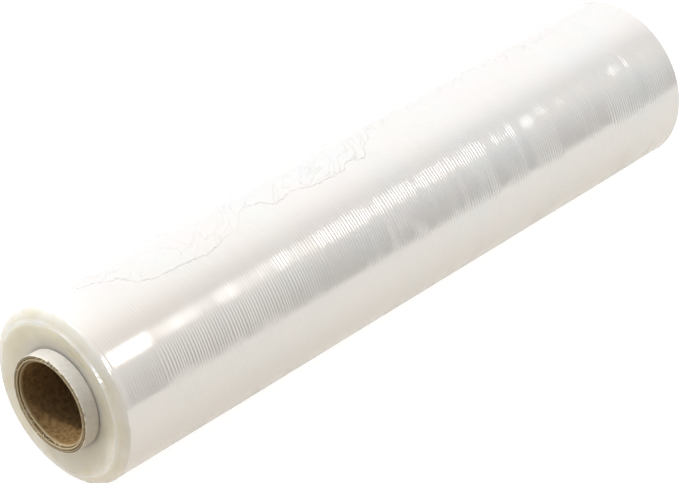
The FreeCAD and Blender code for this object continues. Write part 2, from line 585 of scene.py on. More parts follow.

# %% [markdown]
# ## Creases of the loose tail
#
# Behind its edge the last turn lies loose in fine, slanting creases, which show as thin grey
# lines. The larger folds are in the wall's own form. The finest would need millions of faces,
# so their shade is painted into the colour instead: thin grey lines of painted shade, a thin
# slice through a noise that lies along the turn and fades out with the gathering of the tail.

# %% Creases of the loose tail
barrel_r = 54.4
turn_length = 2 * math.pi * barrel_r * MM
round_way = add_node(
    side_tree, "ShaderNodeMath", [wound_parts(side_tree)["Y"], turn_length], operation="MULTIPLY"
)
slanted = add_node(
    side_tree, "ShaderNodeMath", [wound_parts(side_tree)["X"], round_way], operation="ADD"
)
crease_spot = add_node(side_tree, "ShaderNodeCombineXYZ", [slanted, round_way])
crease_cells = add_node(
    side_tree, "ShaderNodeVectorMath", [crease_spot, cells(14.3, 27.8, 1000)],
    operation="MULTIPLY",
)
creases = add_node(
    side_tree,
    "ShaderNodeTexNoise",
    {"Vector": crease_cells, "Scale": 1.0, "Detail": 3.0, "Distortion": 0.6},
)
# Painted shade: thin grey lines where the tail's creases fall.
painted_crease_shade = add_node(
    side_tree,
    "ShaderNodeValToRGB",
    [creases],
    [(0.480, "#FFFFFF"), (0.500, "#E0E1D9"), (0.506, "#E7E8E2"), (0.530, "#FFFFFF")],
)
tail_gather = add_node(side_tree, "ShaderNodeAttribute", attribute_name="gathering")
body_colour = add_node(
    side_tree,
    "ShaderNodeMix",
    {0: tail_gather.outputs["Fac"], 6: film_colour, 7: painted_crease_shade},
    data_type="RGBA",
    blend_type="MULTIPLY",
)
print("turn length", round(turn_length / MM, 1), "mm")

# %% [markdown]
# ## Ribs and gloss of the film
#
# Film is pulled as it is wound, so ribs about 2 mm apart stand round the roll in groups, and
# draw lines run between them. Both break the lamps' mirror images into rows of glints. They are
# a few hundredths of a millimetre high, so they are a bump that is strong where the wall stored
# strong ribs. Draw lines are finer than half a millimetre and are drawn 1.25 mm apart, so that
# they show. The last turn bridges the ribs where it lies loose, so they are weaker there.

# %% Film ribs and draw lines
RIB_PITCH = 2.1
ribs = add_node(side_tree, "ShaderNodeAttribute", attribute_name="ribs").outputs["Fac"]
rib_spot = add_node(
    side_tree, "ShaderNodeVectorMath", [side_spot, (1.0, 0.05, 0.05)], operation="MULTIPLY"
)
ribbing = add_node(
    side_tree,
    "ShaderNodeTexWave",
    {
        "Vector": rib_spot,
        "Scale": 2 * math.pi / (20 * RIB_PITCH * MM),
        "Distortion": 5.0,
        "Detail": 1.0,
        "Detail Scale": 0.7,
    },
    wave_type="BANDS",
    bands_direction="X",
    wave_profile="SIN",
)
patch_cells = add_node(
    side_tree, "ShaderNodeVectorMath", [side_spot, cells(16.7, 22.2, 22.2)],
    operation="MULTIPLY",
)
rib_patches = add_node(
    side_tree, "ShaderNodeTexNoise", {"Vector": patch_cells, "Scale": 1.0, "Detail": 1.0}
)
patch_share = add_node(side_tree, "ShaderNodeMapRange", [rib_patches, 0.40, 0.60, 0.8, 1.5])
under_tail = add_node(
    side_tree, "ShaderNodeMapRange", [wound_parts(side_tree)["Y"], 0.90, 0.985, 1.0, 0.3]
)
shown_ribs = add_node(side_tree, "ShaderNodeMath", [under_tail, ribs], operation="MULTIPLY")
rib_share = add_node(
    side_tree, "ShaderNodeMath", [patch_share, shown_ribs], operation="MULTIPLY"
)
rib_height = add_node(
    side_tree, "ShaderNodeMath", [ribbing.outputs["Fac"], rib_share], operation="MULTIPLY"
)
line_cells = add_node(
    side_tree, "ShaderNodeVectorMath", [side_spot, cells(1.25, 83, 83)], operation="MULTIPLY"
)
draw_lines = add_node(
    side_tree, "ShaderNodeTexNoise", {"Vector": line_cells, "Scale": 1.0, "Detail": 3.0}
)
side_height = add_node(
    side_tree, "ShaderNodeMath", [draw_lines, 0.25, rib_height], operation="MULTIPLY_ADD"
)
side_bump = add_node(
    side_tree,
    "ShaderNodeBump",
    {"Strength": 1.0, "Distance": 0.125 * MM, "Height": side_height},
)
print("ribs every", RIB_PITCH, "mm")

# %% Film gloss
side_rough = add_node(side_tree, "ShaderNodeMapRange", [draw_lines, 0.35, 0.65, 0.10, 0.17])
side_shader = add_node(
    side_tree,
    "ShaderNodeBsdfPrincipled",
    {"Base Color": body_colour, "Roughness": side_rough, "IOR": 3.9, "Normal": side_bump},
)
add_node(side_tree, "ShaderNodeOutputMaterial", [side_shader])
print(side_material.name, "has", len(side_tree.nodes), "nodes")

# %% [markdown]
# ## Film ends
#
# At the ends the eye looks at the cut edges of all the turns. Light enters the pile there and
# is scattered, so the face is a soft, waxy ivory, and only the rounded shoulder is smooth
# enough to shine. Each turn could be a ring of its own, but at 22 microns none would show.
# Subsurface scattering gives the wax, and a ramp over the radius its colour: the edges' own
# olive ivory, with painted shade darker at the core's foot and a painted light ring at the ridge.
# A low bump gives the lumps of an uneven wind and the lines of the turns, drawn 0.7 mm apart so
# that they show.

# %% Film ends
# Stacked film edges: slit by blades and pressed together, so they look like satin wax.
end_material, end_tree = new_material("stacked_film_edges")
end_spot = add_node(end_tree, "ShaderNodeTexCoord").outputs["Object"]
radius_here = wound_parts(end_tree)["Z"]
out_share = add_node(end_tree, "ShaderNodeMapRange", [radius_here, core_r * MM, barrel_r * MM])
# Painted shade and light: darker at the core's foot, lighter in a ring at the ridge.
radius_tone_with_painted_light_and_shade = add_node(
    end_tree,
    "ShaderNodeValToRGB",
    [out_share],
    [
        (0.0, "#D2C9B6"),
        (0.10, "#ECE5D5"),
        (0.64, "#F0EADB"),
        (0.71, "#F5F1E8"),
        (0.80, "#EAE4D7"),
        (0.93, "#EDE8DF"),
        (1.0, "#F0ECE6"),
    ],
)
cloud = add_node(
    end_tree, "ShaderNodeTexNoise", {"Vector": end_spot, "Scale": cells(16.7)[0], "Detail": 3.0}
)
cloud_shade = add_node(
    end_tree, "ShaderNodeValToRGB", [cloud], [(0.35, "#F6F4EC"), (0.65, "#FFFFFF")]
)
end_colour = add_node(
    end_tree,
    "ShaderNodeMix",
    {0: 1.0, 6: radius_tone_with_painted_light_and_shade, 7: cloud_shade},
    data_type="RGBA",
    blend_type="MULTIPLY",
)
turn_spot = add_node(end_tree, "ShaderNodeCombineXYZ", [radius_here])
turn_edges = add_node(
    end_tree, "ShaderNodeTexNoise", {"Vector": turn_spot, "Scale": cells(0.714)[0], "Detail": 2.0}
)
lumps = add_node(
    end_tree, "ShaderNodeTexNoise", {"Vector": end_spot, "Scale": cells(3.85)[0], "Detail": 2.0}
)
end_height = add_node(
    end_tree, "ShaderNodeMath", [lumps, 14.0, turn_edges], operation="MULTIPLY_ADD"
)
end_bump = add_node(
    end_tree, "ShaderNodeBump", {"Strength": 0.6, "Distance": 0.03 * MM, "Height": end_height}
)
end_rough = add_node(end_tree, "ShaderNodeMapRange", [out_share, 0.62, 0.72, 0.42, 0.11])
end_shader = add_node(
    end_tree,
    "ShaderNodeBsdfPrincipled",
    {
        "Base Color": end_colour,
        "Roughness": end_rough,
        "IOR": 2.1,
        "Subsurface Weight": 0.9,
        "Subsurface Radius": (1.0, 0.92, 0.7),
        "Subsurface Scale": 28 * MM,
        "Normal": end_bump,
    },
)
add_node(end_tree, "ShaderNodeOutputMaterial", [end_shader])
print(end_material.name, "has", len(end_tree.nodes), "nodes")

# %% [markdown]
# ## The film's outline
#
# From the core outwards, each end face dips to the core in rings of turns that don't quite line
# up, then comes a thin raised ridge, a rounded shoulder, a bead and a groove, and the barrel.
# The stations follow that outline from the near end to the far one and back along the core. The
# loose tail ends in a ragged edge along the top, whose angle, gathering and waver are chosen
# point by point, as no rule gives an edge torn by hand.

# %% The tail's edge and the groups of ribs
# From the near end to the far one: place, angle, and how much the edge is gathered
TAIL_EDGE = [
    (-250, -32, 0.15),
    (-228, -22, 0.7),
    (-212, -12, 1.0),
    (-200, -4, 0.9),
    (-190, 8, 0.5),
    (-180, 11, 0.35),
    (-160, 12, 0.6),
    (-146, 14, 0.7),
    (-118, 9, 0.25),
    (-98, -5, 0.55),
    (-88, -2, 0.8),
    (-82, 6, 0.8),
    (-66, 3, 0.6),
    (-50, 8, 0.7),
    (-28, 9, 0.8),
    (-20, 4, 0.7),
    (-8, 8, 0.9),
    (2, -2, 0.6),
    (20, -11, 0.5),
    (45, -10, 0.3),
    (70, -13, 0.25),
    (95, -10, 0.4),
    (118, -22, 0.6),
    (140, -8, 0.5),
    (165, -8, 0.45),
    (190, -14, 0.3),
    (215, -12, 0.3),
    (250, -22, 0.1),
]

# Start, end and strength
RIB_GROUPS = [
    (-212, -76, 0.75),
    (-60, -34, 0.5),
    (-30, 4, 0.75),
    (8, 70, 0.82),
    (74, 98, 0.65),
    (102, 130, 0.82),
    (136, 168, 0.55),
    (174, 212, 0.84),
    (214, 240, 0.7),
]
RIB_FADE = 7


def tail_at(x):
    """Angle of the tail's edge and its gathering at a place, eased between chosen points."""
    for start, end in zip(TAIL_EDGE, TAIL_EDGE[1:]):
        if x <= end[0]:
            part = max(0.0, (x - start[0]) / (end[0] - start[0]))
            eased = part * part * (3 - 2 * part)
            return [start[n] + (end[n] - start[n]) * eased for n in (1, 2)]
    return TAIL_EDGE[-1][1:]


def ribs_at(x):
    """Strength of the ribs at a place: the strongest group there, faded over its ends."""
    strength = 0.15 if x < RIB_GROUPS[0][0] else 0.35
    for start, end, share in RIB_GROUPS:
        inside = min(x - start, end - x) / RIB_FADE
        strength = max(strength, share * max(0.0, min(1.0, inside + 0.5)))
    return strength


print("tail's edge at the middle", [round(value, 2) for value in tail_at(0)])

# %% Stations of an end
DISH_STEPS = 34
SHOULDER_STEPS = 9
dish_depth = 4.0
dish_curve = 1.5
dish_rim = 0.55
ridge_r = 47.8
shoulder_length = 5.4
shoulder_bulge = 0.7
bead_height = 0.15
bead_width = 1.0
groove_depth = 0.25
groove_width = 1.4
chance = random.Random(11)

# Thin ridge: inset, distance out from its middle, and push of the relief (along, out)
RIDGE = [
    (0.34, -0.90, (1, 0)),
    (0.10, -0.65, (0.9, 0.2)),
    (0.0, -0.40, (0.9, 0.4)),
    (0.05, -0.12, (0.8, 0.6)),
    (0.35, 0.12, (0.7, 0.7)),
    (0.90, 0.50, (0.6, 0.8)),
    (1.45, 0.88, (0.6, 0.8)),
    (1.85, 1.20, (0.6, 0.8)),
    (1.98, 1.52, (0.8, 0.6)),
]


def film_end():
    """Stations of one end as (inset, radius, push), from the core out to the barrel."""
    profile = []
    dish_r = ridge_r - 1.1
    for step in range(DISH_STEPS + 1):
        part = step / DISH_STEPS
        depth = dish_rim + (dish_depth - dish_rim) * (1 - part**dish_curve)
        depth += 0.03 * chance.uniform(-1, 1) + 0.07 * math.sin(part * 19)
        profile.append((depth, core_r + part * (dish_r - core_r), (1, 0)))
    profile += [(inset, ridge_r + out, push) for inset, out, push in RIDGE]
    start_inset, start_r = 2.05, ridge_r + 1.9
    for step in range(SHOULDER_STEPS + 1):
        part = step / SHOULDER_STEPS
        bulge = 4 * shoulder_bulge * part * (1 - part)
        radius = start_r + part * (barrel_r - start_r) + bulge
        inset = start_inset + part * (shoulder_length - start_inset)
        profile.append((inset, radius, (0.6, 0.8)))
    bead = shoulder_length + bead_width / 2
    groove = shoulder_length + bead_width + groove_width / 2
    profile.append((bead, barrel_r + bead_height, (0, 1)))
    profile.append((groove, barrel_r - groove_depth, (0, 1)))
    return profile


end = film_end()
print("an end has", len(end), "stations")

# %% Stations of the film
BARREL_STEPS = 660


def end_station(side, inset, radius, push):
    """Station of an end, on the near side (-1) or the far side (1)."""
    x = side * (half_width - inset)
    angle, gather = tail_at(x)
    on_shoulder = max(0.0, min(1.0, (inset - 0.3) / shoulder_length))
    gather *= on_shoulder * (radius > ridge_r)
    way = (side * push[0], push[1])
    return station_at(x, radius, way, wave=1, tail=angle, gather=gather)


def barrel_station(x):
    """Station on the barrel, where the tail's edge also wavers from rib to rib."""
    angle, gather = tail_at(x)
    angle += 0.7 * gather * (math.sin(0.83 * x) * math.sin(0.31 * x) + 0.4 * math.sin(2.1 * x))
    angle += 0.45 * gather * chance.uniform(-1, 1)
    return station_at(x, barrel_r, ribs=ribs_at(x), wave=1, tail=angle, gather=gather)


barrel_end = half_width - shoulder_length - bead_width - groove_width
barrel_shares = [2 * step / BARREL_STEPS - 1 for step in range(BARREL_STEPS + 1)]
stations = [end_station(-1, *place) for place in end]
stations += [barrel_station(share_along * barrel_end) for share_along in barrel_shares]
stations += [end_station(1, *place) for place in reversed(end)]
print("film has", len(stations), "stations")

# %% Film piece
film = grow_wall(
    "film",
    stations + stations[:1],
    {
        "Rows": 120,
        "Row Gather": 0.8,
        "Lip Width": math.radians(0.5),
        "Tail Lift": 0.34 * MM,
        "Streak Height": 0.04 * MM,
        "Streak Scale": cells(3.33, 125, 125),
        "Wave Height": 0.10 * MM,
        "Wave Scale": cells(71, 56, 56),
        "Wrinkle Height": 0.08 * MM,
        "Wrinkle Scale": cells(5, 38, 38),
        "Wrinkle Slant": 60.0,
        "Crinkle Height": 0.22 * MM,
        "Crinkle Scale": cells(2.4, 3.3, 3.3),
        "Material": side_material,
        "End Start": (half_width - shoulder_length) * MM,
        "End Material": end_material,
    },
)

# %% [markdown]
# ## Core materials
#
# The core is a spiral-wound tube of brown kraft board: long-fibred, unbleached paper, matt and a
# little mottled, which shows pale fibres and dark gaps between its plies where a saw has cut
# it. Its outermost ply is smooth white paper, which handling leaves grey and frayed at the edge.
# A picture of cardboard would repeat round the tube. Noise doesn't, and the marks that the wall
# stored tell the cut ends from the rest.

# %% Kraft board
# Kraft core board: rough unbleached fibres with hardly any gloss, so the deep bore stays brown.
board_material, board_tree = new_material("kraft_core_board")
board_spot = add_node(board_tree, "ShaderNodeTexCoord").outputs["Object"]
mottle = add_node(
    board_tree,
    "ShaderNodeTexNoise",
    {"Vector": board_spot, "Scale": cells(2.38)[0], "Detail": 5.0},
)
kraft_shade = add_node(
    board_tree, "ShaderNodeValToRGB", [mottle], [(0.34, "#785E3B"), (0.66, "#9F8056")]
)
board_wall = 4.0
ply_share = add_node(
    board_tree,
    "ShaderNodeMapRange",
    [wound_parts(board_tree)["Z"], bore_r * MM, (bore_r + board_wall) * MM],
)
cut_shade = add_node(
    board_tree,
    "ShaderNodeValToRGB",
    [ply_share],
    [
        (0.0, "#AE9872"),
        (0.22, "#DACBAC"),
        (0.27, "#735C3A"),
        (0.31, "#7A6341"),
        (0.36, "#CBBB9C"),
        (0.60, "#BBA98A"),
        (0.65, "#5F4D33"),
        (0.70, "#665438"),
        (0.76, "#BCAB8D"),
        (0.97, "#7C6A4E"),
    ],
)
at_cut = towards_ends(board_tree, half_core - 3.4, half_core - 1.9)
board_colour = add_node(
    board_tree, "ShaderNodeMix", {0: at_cut, 6: kraft_shade, 7: cut_shade}, data_type="RGBA"
)
print("kraft colour:", len(board_tree.nodes), "nodes")

# %% Fibres of the kraft board
# Paper fibres are 0.03 mm thick and 3 mm long; they are drawn wider and shorter, to show.
fibre_cells = add_node(
    board_tree, "ShaderNodeVectorMath", [board_spot, cells(2.0, 0.625, 0.625)],
    operation="MULTIPLY",
)
board_fibres = add_node(
    board_tree, "ShaderNodeTexNoise", {"Vector": fibre_cells, "Scale": 1.0, "Detail": 4.0}
)
board_bump = add_node(
    board_tree,
    "ShaderNodeBump",
    {"Strength": 0.6, "Distance": 0.12 * MM, "Height": board_fibres},
)
board_rough = add_node(board_tree, "ShaderNodeMapRange", [board_fibres, 0.3, 0.7, 0.82, 0.95])
board_shader = add_node(
    board_tree,
    "ShaderNodeBsdfPrincipled",
    {
        "Base Color": board_colour,
        "Roughness": board_rough,
        "Specular IOR Level": 0.1,
        "Normal": board_bump,
    },
)
add_node(board_tree, "ShaderNodeOutputMaterial", [board_shader])
print(board_material.name, "has", len(board_tree.nodes), "nodes")

# %% White paper
# White core paper: pressed smooth when it is made, so it is a pale satin with grey scuffs.
paper_material, paper_tree = new_material("white_core_paper")
paper_spot = add_node(paper_tree, "ShaderNodeTexCoord").outputs["Object"]
scuff = add_node(
    paper_tree,
    "ShaderNodeTexNoise",
    {"Vector": paper_spot, "Scale": cells(2.63)[0], "Detail": 4.0},
)
clean_shade = add_node(
    paper_tree, "ShaderNodeValToRGB", [scuff], [(0.3, "#D2CDC6"), (0.6, "#DCD8D1")]
)
worn_shade = add_node(
    paper_tree,
    "ShaderNodeValToRGB",
    [scuff],
    [(0.32, "#94897A"), (0.42, "#DAD1C1"), (0.55, "#F3ECDE")],
)
at_edge = towards_ends(paper_tree, half_ply - 1.1, half_ply - 0.1)
paper_colour = add_node(
    paper_tree, "ShaderNodeMix", {0: at_edge, 6: clean_shade, 7: worn_shade}, data_type="RGBA"
)
paper_bump = add_node(
    paper_tree, "ShaderNodeBump", {"Strength": 0.3, "Distance": 0.05 * MM, "Height": scuff}
)
paper_rough = add_node(paper_tree, "ShaderNodeMapRange", [scuff, 0.3, 0.7, 0.5, 0.62])
paper_shader = add_node(
    paper_tree,
    "ShaderNodeBsdfPrincipled",
    {"Base Color": paper_colour, "Roughness": paper_rough, "Normal": paper_bump},
)
add_node(paper_tree, "ShaderNodeOutputMaterial", [paper_shader])
print(paper_material.name, "has", len(paper_tree.nodes), "nodes")

# %% [markdown]
# ## The core
#
# The board tube is a closed wall: bore, end face with cracks between its plies, and outside. A
# helical seam runs down the bore where the inner ply's edges meet. At the near end that ply has
# come loose: it is set back from the face and curls into the bore near the bottom. The white
# ply lies on the tube and is a little short of its ends.

# %% Core stations
BORE_STEP = 4.0
BORE_START = 4.2

# End face from the bore outwards: inset, distance from the bore, wear, curl. Between the plies
# are two cracks, drawn about 0.3 mm wide so that they show.
BOARD_FACE = [
    (4.2, 0.0, 0.1, 0.2),
    (2.4, 0.0, 0.5, 0.6),
    (1.4, 0.1, 1.0, 1.0),
    (1.1, 0.4, 1.0, 1.0),
    (1.1, 0.8, 1.0, 1.0),
    (1.4, 1.0, 1.0, 0.9),
    (2.1, 1.08, 0.4, 0.5),
    (2.1, 1.20, 0.2, 0.0),
    (0.5, 1.28, 0.4, 0.0),
    (0.1, 1.45, 0.8, 0.0),
    (0.0, 1.9, 1.0, 0.0),
    (0.1, 2.4, 1.0, 0.0),
    (0.9, 2.58, 0.4, 0.0),
    (0.9, 2.80, 0.4, 0.0),
    (0.1, 2.94, 1.0, 0.0),
    (0.0, 3.3, 1.0, 0.0),
    (0.06, 3.8, 0.6, 0.0),
    (0.3, 4.0, 0.1, 0.0),
]


def board_end(side):
    """Stations of an end face, on the near side (-1) or the far side (1)."""
    face = []
    for inset, outwards, wear, curl in BOARD_FACE:
        x = side * (half_core - inset)
        curl *= side < 0
        face.append(station_at(x, bore_r + outwards, (side, 0.5), wear=wear, curl=curl))
    return face


bore_length = 2 * (half_core - BORE_START)
bore_steps = round(bore_length / BORE_STEP)
bore_places = [bore_length * (0.5 - step / bore_steps) for step in range(1, bore_steps)]
bore_line = [station_at(x, bore_r, (0, -1), wave=1, seam=1) for x in bore_places]
board_line = bore_line + board_end(-1) + board_end(1)[::-1]
board = grow_wall(
    "core_board",
    board_line + board_line[:1],
    {
        "Rows": 160,
        "Wave Height": 0.05 * MM,
        "Wave Scale": cells(25, 16.7, 16.7),
        "Wear Height": 0.13 * MM,
        "Wear Scale": cells(2.38, 2.38, 2.38),
        "Seam Depth": 0.3 * MM,
        "Seam Pitch": 95.0 * MM,
        "Seam Width": 0.012,
        "Curl Height": 1.5 * MM,
        "Curl Middle": 0.58,
        "Curl Reach": 0.13,
        "Material": board_material,
    },
)

# %% Paper stations
# Inset from the edge and wear
PAPER_EDGE = [
    (16.0, 0.0), (8.0, 0.0), (4.0, 0.05), (2.0, 0.1), (1.0, 0.3), (0.4, 0.7), (0.1, 1.0)
]


def paper_end(side):
    """Outer ply at one end, from under the film to its edge and round to its inside."""
    x = side * half_ply
    wall = [
        station_at(x - side * inset, core_r, (side, 0.3), wear=wear) for inset, wear in PAPER_EDGE
    ]
    edge = [
        station_at(x, core_r - 0.12, (side, 0), wear=1),
        station_at(x, board_r + 0.1, (side, 0), wear=1),
    ]
    return wall + edge


inside = [station_at(side * (half_ply - 1.0), board_r) for side in (1, -1)]
paper_line = paper_end(-1)[::-1] + paper_end(1) + inside
paper = grow_wall(
    "core_paper",
    paper_line + paper_line[:1],
    {
        "Rows": 240,
        "Wear Height": 0.08 * MM,
        "Wear Scale": cells(6.7, 6.25, 6.25),
        "Material": paper_material,
    },
)

# %% [markdown]
# ## Torn fibres
#
# The saw that cuts the core to length leaves paper fibres standing on its rim, most of them where
# the plies have come apart. A hair system could do this, but it makes no plain mesh. Here one
# bent fibre is made in Geometry Nodes and placed on points along the torn stretches of the rim.
# Real fibres are 0.03 mm thick, so each one here stands for a tuft and is 0.3 mm wide.

# %% Fibre tree
FIBRE_INPUTS = [
    ("Points", "Geometry", None),
    ("Length", "Float", 0.002),
    ("Bend", "Float", 0.0006),
    ("Width", "Float", 0.0002),
    ("Seed", "Int", 1),
    ("Material", "Material", None),
]
fibre_tree, fibre_given = new_tree("torn_fibres", FIBRE_INPUTS)
bend_place = add_node(
    fibre_tree, "ShaderNodeMath", [fibre_given["Length"], 0.6], operation="MULTIPLY"
)
fibre_middle = add_node(
    fibre_tree, "ShaderNodeCombineXYZ", [fibre_given["Bend"], 0.0, bend_place]
)
fibre_tip = add_node(fibre_tree, "ShaderNodeCombineXYZ", [0.0, 0.0, fibre_given["Length"]])
fibre_line = add_node(
    fibre_tree,
    "GeometryNodeCurveQuadraticBezier",
    {"Resolution": 4, "Start": (0.0, 0.0, 0.0), "Middle": fibre_middle, "End": fibre_tip},
)
half_thick = add_node(
    fibre_tree, "ShaderNodeMath", [fibre_given["Width"], 0.5], operation="MULTIPLY"
)
fibre_round = add_node(
    fibre_tree, "GeometryNodeCurvePrimitiveCircle", {"Resolution": 3, "Radius": half_thick}
)
fibre_mesh = add_node(
    fibre_tree,
    "GeometryNodeCurveToMesh",
    {"Curve": fibre_line, "Profile Curve": fibre_round.outputs["Curve"], "Fill Caps": True},
)
print("one fibre:", len(fibre_tree.nodes), "nodes")

# %% Place the fibres
way = add_node(
    fibre_tree, "GeometryNodeInputNamedAttribute", {"Name": "way"}, data_type="FLOAT_VECTOR"
)
aimed = add_node(fibre_tree, "FunctionNodeAlignRotationToVector", {"Vector": way}, axis="Z")
spin = add_node(
    fibre_tree,
    "FunctionNodeRandomValue",
    {0: (0.0, 0.0, 0.0), 1: (0.0, 0.0, 2 * math.pi), "Seed": fibre_given["Seed"]},
    data_type="FLOAT_VECTOR",
)
spun = add_node(
    fibre_tree,
    "FunctionNodeRotateRotation",
    {"Rotation": aimed, "Rotate By": spin},
    rotation_space="LOCAL",
)
size = add_node(
    fibre_tree,
    "FunctionNodeRandomValue",
    {2: 0.4, 3: 1.2, "Seed": fibre_given["Seed"]},
    data_type="FLOAT",
)
placed_fibres = add_node(
    fibre_tree,
    "GeometryNodeInstanceOnPoints",
    {
        "Points": fibre_given["Points"],
        "Instance": fibre_mesh,
        "Rotation": spun,
        "Scale": size.outputs[1],
    },
)
real_fibres = add_node(fibre_tree, "GeometryNodeRealizeInstances", {"Geometry": placed_fibres})
dressed_fibres = add_node(
    fibre_tree,
    "GeometryNodeSetMaterial",
    {"Geometry": real_fibres, "Material": fibre_given["Material"]},
)
add_node(fibre_tree, "NodeGroupOutput", [dressed_fibres])
print("torn_fibres has", len(fibre_tree.nodes), "nodes")

# %% Fibre material
# Torn paper fibres: split by the saw, so pale insides show beside dark, dusty outsides.
fibre_material, shade_tree = new_material("torn_paper_fibres")
fibre_spot = add_node(shade_tree, "ShaderNodeTexCoord").outputs["Object"]
fibre_mottle = add_node(
    shade_tree, "ShaderNodeTexNoise", {"Vector": fibre_spot, "Scale": cells(2)[0], "Detail": 2.0}
)
fibre_colour = add_node(
    shade_tree,
    "ShaderNodeValToRGB",
    [fibre_mottle],
    [(0.40, "#57442C"), (0.47, "#D8C8A8"), (0.58, "#F6EFE0")],
)
fibre_bump = add_node(
    shade_tree, "ShaderNodeBump", {"Strength": 0.4, "Distance": 0.03 * MM, "Height": fibre_mottle}
)
fibre_rough = add_node(shade_tree, "ShaderNodeMapRange", [fibre_mottle, 0.3, 0.7, 0.75, 0.95])
fibre_shader = add_node(
    shade_tree,
    "ShaderNodeBsdfPrincipled",
    {"Base Color": fibre_colour, "Roughness": fibre_rough, "Normal": fibre_bump},
)
add_node(shade_tree, "ShaderNodeOutputMaterial", [fibre_shader])
print(fibre_material.name, "has", len(shade_tree.nodes), "nodes")

# %% Fibres on the rim
# Torn stretches: first and last angle, first and last radius, inset from the core's end, count
TORN_STRETCHES = [
    (-6, 22, 28.6, 30.3, 0.2, 56),
    (22, 150, 28.8, 29.9, 0.3, 10),
    (-60, -6, 28.4, 29.9, 0.3, 6),
    (-165, -118, 25.2, 26.9, 1.0, 14),
    (165, 195, 25.2, 27.0, 1.0, 12),
    (195, 330, 26.8, 29.0, 0.2, 10),
]


def torn_points(side):
    """Fibre roots along the torn stretches of one end, and the way in which each fibre leans."""
    roots, ways = [], []
    for first, last, low, high, inset, count in TORN_STRETCHES:
        for _ in range(count):
            angle = math.radians(chance.uniform(first, last))
            radius = chance.uniform(low, high)
            out = Vector((0, -math.sin(angle), math.cos(angle)))
            sideways = Vector((0, -math.cos(angle), -math.sin(angle)))
            root = out * radius + Vector((side * (half_core - inset), 0, axis_height))
            lean = chance.choice((-1, 1)) * chance.uniform(0.5, 1.6)
            forward = Vector((side, 0, 0)) * chance.uniform(0.2, 0.9)
            roots.append(root * MM)
            ways.append(forward + sideways * lean + out * chance.uniform(-0.3, 0.3))
    return roots, ways


near_fibres, far_fibres = (torn_points(side) for side in (-1, 1))
fibre_points = bpy.data.meshes.new("fibre_points")
fibre_points.from_pydata(near_fibres[0] + far_fibres[0], [], [])
way_layer = fibre_points.attributes.new("way", "FLOAT_VECTOR", "POINT")
all_ways = near_fibres[1] + far_fibres[1]
way_layer.data.foreach_set("vector", [part for fibre_way in all_ways for part in fibre_way])
fibres = plain_result(
    add_object("fibre_points", fibre_points),
    fibre_tree,
    {
        "Length": 2.4 * MM,
        "Bend": 0.6 * MM,
        "Width": 0.30 * MM,
        "Seed": 5,
        "Material": fibre_material,
    },
    "core_fibres",
)
print("core_fibres", len(fibres.data.polygons), "faces")

# %% [markdown]
# ## Body and nodes
#
# The roll is one body. Each piece rides on it and takes the place of its plain solid.

# %% Ride and replace
for piece, node, slot in (
    (film, "film_roll", "stretch_film"),
    (board, "core_tube", "core_board"),
    (paper, "core_outer_ply", "core_paper"),
):
    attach(piece, "root")
    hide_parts(node)
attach(fibres, "root")
print("pieces on the root body:", [piece.name for piece in (film, board, paper, fibres)])

# %% [markdown]
# ## Camera
#
# The photo was taken with a long lens from the front left, about 33 degrees above the floor.
# The place and the lens follow from fitting the roll's outline, so nothing is shifted or tilted
# afterwards.

# %% Camera
CAMERA_AZIMUTH = math.radians(-46.69)
CAMERA_ELEVATION = math.radians(33.06)
CAMERA_DISTANCE = 1657.6
CAMERA_SIDEWAYS = -14.43
CAMERA_UPWAYS = -11.0
LENS = 143.65

back = Vector(
    (
        math.sin(CAMERA_AZIMUTH) * math.cos(CAMERA_ELEVATION),
        -math.cos(CAMERA_AZIMUTH) * math.cos(CAMERA_ELEVATION),
        math.sin(CAMERA_ELEVATION),
    )
)
right = Vector((0, 0, 1)).cross(back).normalized()
up = back.cross(right)
roll_middle = Vector((0, 0, axis_height))
camera_spot = roll_middle + back * CAMERA_DISTANCE + right * CAMERA_SIDEWAYS + up * CAMERA_UPWAYS
camera_data = bpy.data.cameras.new("camera")
camera_data.lens = LENS
camera_data.sensor_width = 36.0
camera_data.clip_start = 0.01
camera = add_object("camera", camera_data)
turn = Matrix((right, up, back)).transposed()
camera.matrix_world = Matrix.Translation(camera_spot * MM) @ turn.to_4x4()
bpy.context.scene.camera = camera
print("camera at", [round(part * MM, 3) for part in camera_spot])

# %% [markdown]
# ## Floor
#
# The roll lies on a plain white ground. A floor that is simply lit would render grey, so the
# camera and every gloss see it with a glow that makes it white and keeps the roll's shadow. All
# other rays see a plain warm floor, which throws a soft light up under the roll. It ends a
# little past the roll's near end, so that it throws less light up into the bore.

# %% Floor
FLOOR_FRONT = -0.47
FLOOR_REACH = 1.3
FLOOR_NEAR = -0.46
floor_mesh = bpy.data.meshes.new("floor")
floor_corners = [(FLOOR_NEAR, FLOOR_FRONT), (FLOOR_REACH, FLOOR_FRONT)]
floor_corners += [(FLOOR_REACH, FLOOR_REACH), (FLOOR_NEAR, FLOOR_REACH)]
floor_mesh.from_pydata([(x, y, 0.0) for x, y in floor_corners], [], [(0, 1, 2, 3)])
floor = add_object("floor", floor_mesh)


def shown_rays(tree):
    """One for rays from the camera, from a gloss or through glass, which see the white."""
    path = add_node(tree, "ShaderNodeLightPath").outputs
    seen = add_node(
        tree, "ShaderNodeMath", [path["Is Camera Ray"], path["Is Glossy Ray"]],
        operation="MAXIMUM",
    )
    return add_node(
        tree, "ShaderNodeMath", [seen, path["Is Transmission Ray"]], operation="MAXIMUM"
    )


